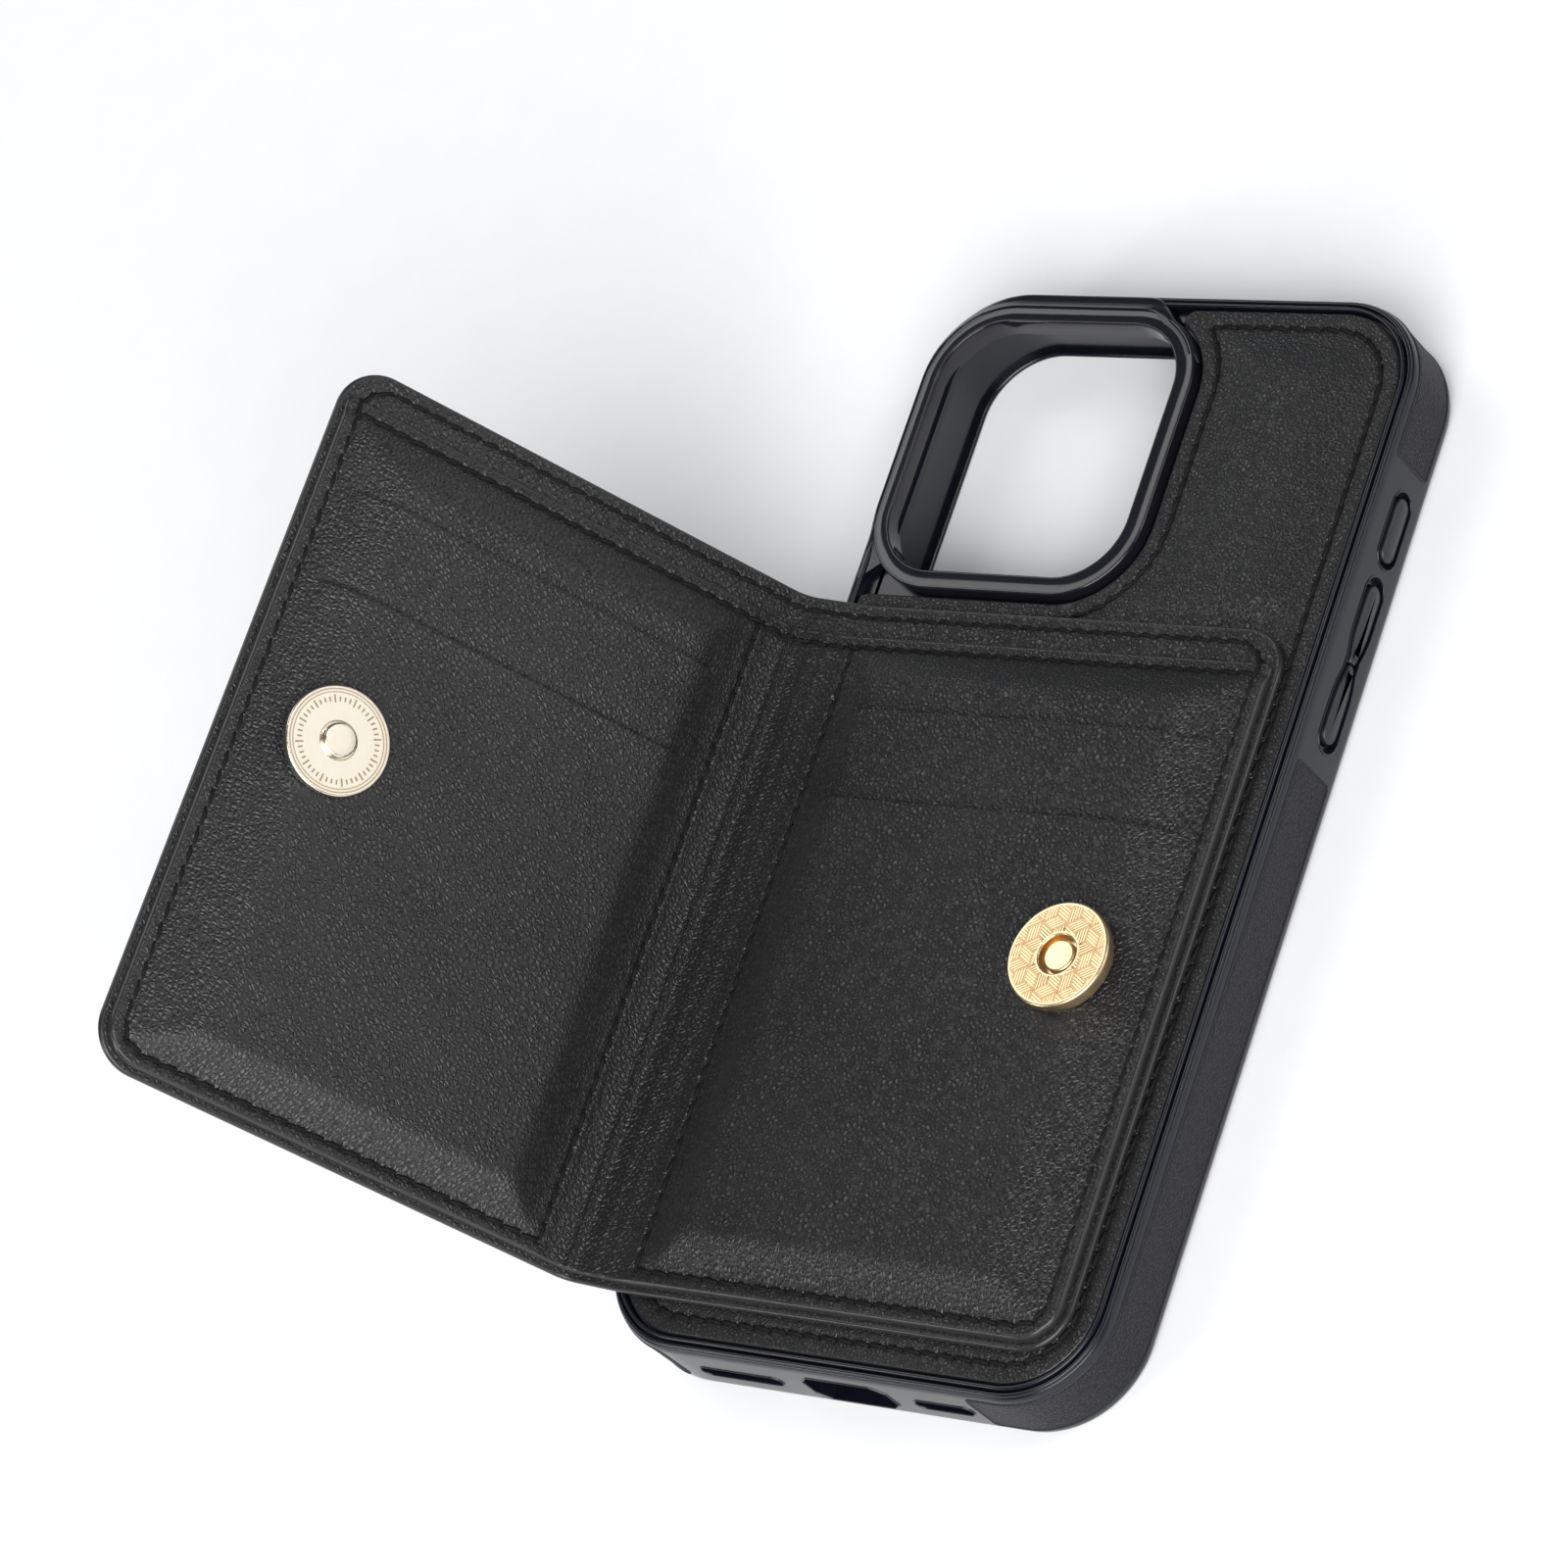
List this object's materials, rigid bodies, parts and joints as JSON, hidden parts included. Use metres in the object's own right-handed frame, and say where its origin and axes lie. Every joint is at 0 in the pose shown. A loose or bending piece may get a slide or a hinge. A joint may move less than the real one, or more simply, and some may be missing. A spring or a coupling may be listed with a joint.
{
  "type": "phone wallet case",
  "caption": "Phone case with a padded leather back and a folding two-panel leather wallet with card pockets and a magnetic snap.",
  "frame": {"origin": "middle of the flat inner face that the phone's back lies on", "axes": "+Z out of the back of the case, +Y to the camera end, +X to the volume-button side (the right side seen from the back); the case lies on its front rim"},
  "size_m": [0.116, 0.156, 0.078],
  "materials": {
    "bumper": "satin moulded TPU, dark blue-grey",
    "bezel": "glossy black",
    "side_grain": "fine pebble grain, matt",
    "back_leather": "padded PU leather, fine grain, satin",
    "pad": "foam pad, not seen",
    "wallet_leather": "padded PU leather, fine grain, satin",
    "wallet_lining": "thin PU leather, fine grain",
    "board": "stiffening board, not seen",
    "gold": "engraved light gold plate",
    "pale_gold": "pale gold plate",
    "magnet": "plated ring magnet, not seen"
  },
  "bodies": {
    "case": {"bumper_frame": "bumper", "camera_bezel": "bezel", "back_pad": "pad", "back_leather": "back_leather", "side_leather_upper_right": "side_grain", "side_leather_lower_right": "side_grain", "side_leather_upper_left": "side_grain", "side_leather_lower_left": "side_grain", "base_cover": "wallet_leather", "base_board": "board", "base_inner_panel": "wallet_lining", "base_pocket_upper": "wallet_leather", "base_pocket_lower": "wallet_leather", "base_edge_welt": "wallet_lining", "snap_socket_shell": "gold", "snap_socket_magnet": "magnet", "snap_socket_rivet": "gold"},
    "spine": {"spine_cover": "wallet_leather", "spine_lining": "wallet_lining"},
    "flap": {"flap_cover": "wallet_leather", "flap_board": "board", "flap_inner_panel": "wallet_lining", "flap_pocket_upper": "wallet_leather", "flap_pocket_lower": "wallet_leather", "flap_edge_welt": "wallet_lining", "snap_stud_plate": "pale_gold", "snap_stud_post": "pale_gold"},
    "action_button": {"action_button": "bumper"},
    "volume_up_button": {"volume_up_button": "bumper"},
    "volume_down_button": {"volume_down_button": "bumper"},
    "power_button": {"power_button": "bumper"}
  },
  "joints": [
    {"name": "spine_fold", "type": "hinge", "parent": "case", "child": "spine", "pos_m": [-0.0333, -0.0215, 0.00325], "axis": [0, 1, 0], "range_deg": [-20, 64]},
    {"name": "flap_fold", "type": "hinge", "parent": "spine", "child": "flap", "pos_m": [-0.04498, -0.0215, 0.00895], "axis": [0, 1, 0], "range_deg": [-42, 54]},
    {"name": "action_press", "type": "slide", "parent": "case", "child": "action_button", "axis": [-1, 0, 0], "range_m": [0, 0.0005], "stiffness_N_per_m": 2000},
    {"name": "volume_up_press", "type": "slide", "parent": "case", "child": "volume_up_button", "axis": [-1, 0, 0], "range_m": [0, 0.0005], "stiffness_N_per_m": 2000},
    {"name": "volume_down_press", "type": "slide", "parent": "case", "child": "volume_down_button", "axis": [-1, 0, 0], "range_m": [0, 0.0005], "stiffness_N_per_m": 2000},
    {"name": "power_press", "type": "slide", "parent": "case", "child": "power_button", "axis": [1, 0, 0], "range_m": [0, 0.0005], "stiffness_N_per_m": 2000}
  ]
}
